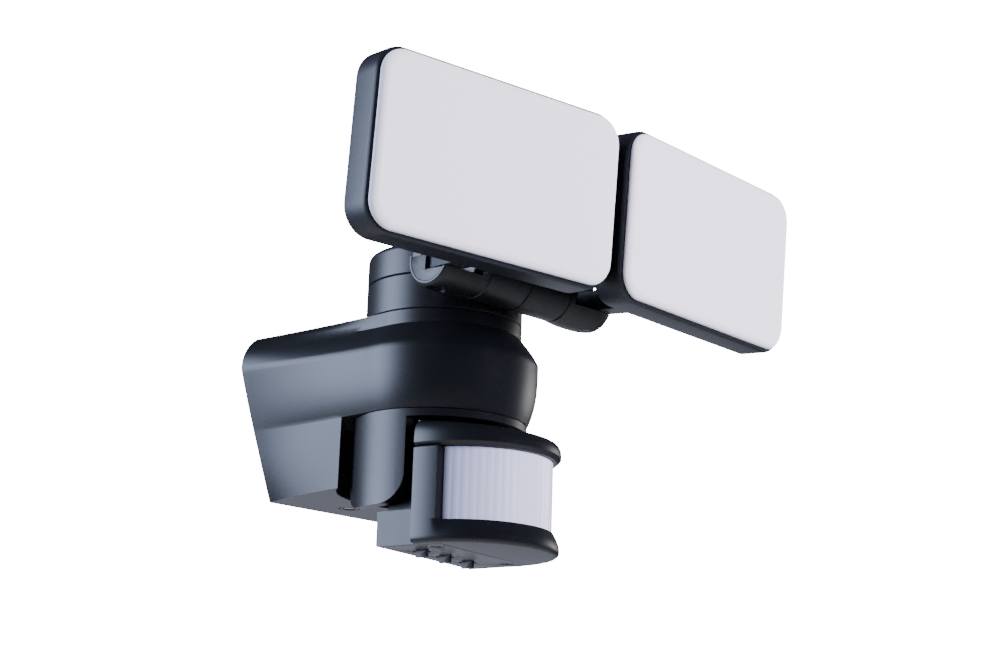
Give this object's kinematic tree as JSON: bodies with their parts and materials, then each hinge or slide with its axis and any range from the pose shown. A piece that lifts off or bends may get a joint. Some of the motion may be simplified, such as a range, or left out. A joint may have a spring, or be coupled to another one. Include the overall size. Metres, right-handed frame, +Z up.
{
  "type": "floodlight with motion sensor",
  "caption": "Wall floodlight with wide rectangular LED heads on a swivelling crossbar and a round motion sensor with knobs hung beneath its base.",
  "frame": {"origin": "centre of the wall face, on the wall plane, level with the lower half of the arm housing", "axes": "+Z up, -Y out from the wall towards the viewer, +X to the right of a viewer facing the light"},
  "size_m": [0.2916, 0.2136, 0.206],
  "materials": {
    "black_plastic": "satin black moulded plastic",
    "lamp_plastic": "satin blue-grey moulded plastic",
    "opal_diffuser": "opal white diffuser, finely frosted",
    "milky_lens": "milky translucent polyethylene with fine lens segments",
    "rubber": "black rubber",
    "steel": "zinc plated",
    "black_steel": "black zinc plated",
    "aluminium": "stamped sheet",
    "board_green": "printed circuit board",
    "led_board": "white solder mask with yellow LED chips",
    "brass": "plated can",
    "white_nylon": "natural nylon"
  },
  "bodies": {
    "base": {"arm_housing": "black_plastic", "wall_bracket": "steel", "wall_gasket": "rubber", "cable_grommet": "rubber", "terminal_block": "white_nylon", "driver_board": "board_green", "housing_screw": "steel"},
    "turret": {"turret_body": "black_plastic", "turret_cap": "black_plastic", "turret_retainer": "white_nylon", "left_bar_shell": "black_plastic", "right_bar_shell": "black_plastic", "left_tilt_bolt": "steel", "right_tilt_bolt": "steel", "left_tilt_nut": "steel", "right_tilt_nut": "steel"},
    "left_knuckle_body": {"left_knuckle": "black_plastic", "left_knuckle_cap": "black_plastic", "left_yaw_bolt": "black_steel"},
    "left_head": {"left_neck": "lamp_plastic", "left_yaw_nut": "black_steel", "left_lamp_housing": "lamp_plastic", "left_diffuser": "opal_diffuser", "left_lamp_gasket": "rubber", "left_led_panel": "led_board", "left_heat_spreader": "aluminium", "left_lamp_screw_1": "steel", "left_lamp_screw_2": "steel", "left_lamp_screw_3": "steel", "left_lamp_screw_4": "steel"},
    "right_knuckle_body": {"right_knuckle": "black_plastic", "right_knuckle_cap": "black_plastic", "right_yaw_bolt": "black_steel"},
    "right_head": {"right_neck": "lamp_plastic", "right_yaw_nut": "black_steel", "right_lamp_housing": "lamp_plastic", "right_diffuser": "opal_diffuser", "right_lamp_gasket": "rubber", "right_led_panel": "led_board", "right_heat_spreader": "aluminium", "right_lamp_screw_1": "steel", "right_lamp_screw_2": "steel", "right_lamp_screw_3": "steel", "right_lamp_screw_4": "steel"},
    "pan_rotor_body": {"pan_rotor": "black_plastic", "pan_retainer": "white_nylon", "left_sensor_pin": "steel", "right_sensor_pin": "steel"},
    "sensor": {"sensor_body": "black_plastic", "sensor_cap": "black_plastic", "sensor_lens": "milky_lens", "sensor_board": "board_green", "pir_element": "brass", "control_plate": "black_plastic", "left_plate_screw": "black_steel", "right_plate_screw": "black_steel"},
    "time_knob_body": {"time_knob": "black_plastic"},
    "light_knob_body": {"light_knob": "black_plastic"},
    "range_knob_body": {"range_knob": "black_plastic"}
  },
  "joints": [
    {"name": "turret_swivel", "type": "hinge", "parent": "base", "child": "turret", "pos_m": [0, -0.088, 0.043], "axis": [0, 0, 1], "range_deg": [-45, 45]},
    {"name": "left_lamp_tilt", "type": "hinge", "parent": "turret", "child": "left_knuckle_body", "pos_m": [0, -0.138, 0.0585], "axis": [1, 0, 0], "range_deg": [-30, 45]},
    {"name": "left_lamp_yaw", "type": "hinge", "parent": "left_knuckle_body", "child": "left_head", "pos_m": [-0.0515, -0.138, 0.0585], "axis": [0, -0.0698, 0.9976], "range_deg": [-32, 1.5]},
    {"name": "right_lamp_tilt", "type": "hinge", "parent": "turret", "child": "right_knuckle_body", "pos_m": [0, -0.138, 0.0585], "axis": [1, 0, 0], "range_deg": [-30, 45]},
    {"name": "right_lamp_yaw", "type": "hinge", "parent": "right_knuckle_body", "child": "right_head", "pos_m": [0.0515, -0.138, 0.0585], "axis": [0, -0.0698, 0.9976], "range_deg": [-1.5, 32]},
    {"name": "sensor_pan", "type": "hinge", "parent": "base", "child": "pan_rotor_body", "pos_m": [0, -0.088, 0], "axis": [0, 0, 1], "range_deg": [-67, 43]},
    {"name": "sensor_tilt", "type": "hinge", "parent": "pan_rotor_body", "child": "sensor", "pos_m": [-0.00146, -0.08115, -0.034], "axis": [0.9781, 0.2079, 0], "range_deg": [-5, 20]},
    {"name": "time_knob_turn", "type": "hinge", "parent": "sensor", "child": "time_knob_body", "pos_m": [-0.01832, -0.09803, -0.077], "axis": [0, 0, 1], "range_deg": [-135, 135]},
    {"name": "light_knob_turn", "type": "hinge", "parent": "sensor", "child": "light_knob_body", "pos_m": [0.00125, -0.09387, -0.077], "axis": [0, 0, 1], "range_deg": [-135, 135]},
    {"name": "range_knob_turn", "type": "hinge", "parent": "sensor", "child": "range_knob_body", "pos_m": [0.02081, -0.08971, -0.077], "axis": [0, 0, 1], "range_deg": [-135, 135]}
  ]
}
